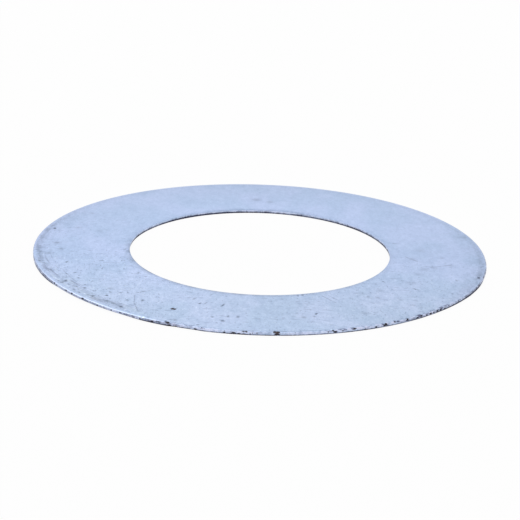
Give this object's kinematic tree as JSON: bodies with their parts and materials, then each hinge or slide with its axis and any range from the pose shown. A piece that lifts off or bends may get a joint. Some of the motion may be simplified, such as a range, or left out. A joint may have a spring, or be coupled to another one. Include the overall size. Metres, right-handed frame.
{
  "type": "shim ring",
  "caption": "Thin flat steel shim ring with a round bore, sheared edges and small rust nicks in its rim.",
  "frame": {"origin": "on the bore axis, in the plane of the lower face that the ring lies on", "axes": "+Z along the bore axis, out of the upper face, whose edges are rolled over; +X and +Y lie in the sheet"},
  "size_m": [0.052, 0.052, 0.0004],
  "materials": {
    "sheet_steel": "bright rolled sheet with a fine grain, faint scratches, small rust pits and a dull band along the rim"
  },
  "bodies": {
    "root": {"shim_ring": "sheet_steel"}
  },
  "joints": []
}
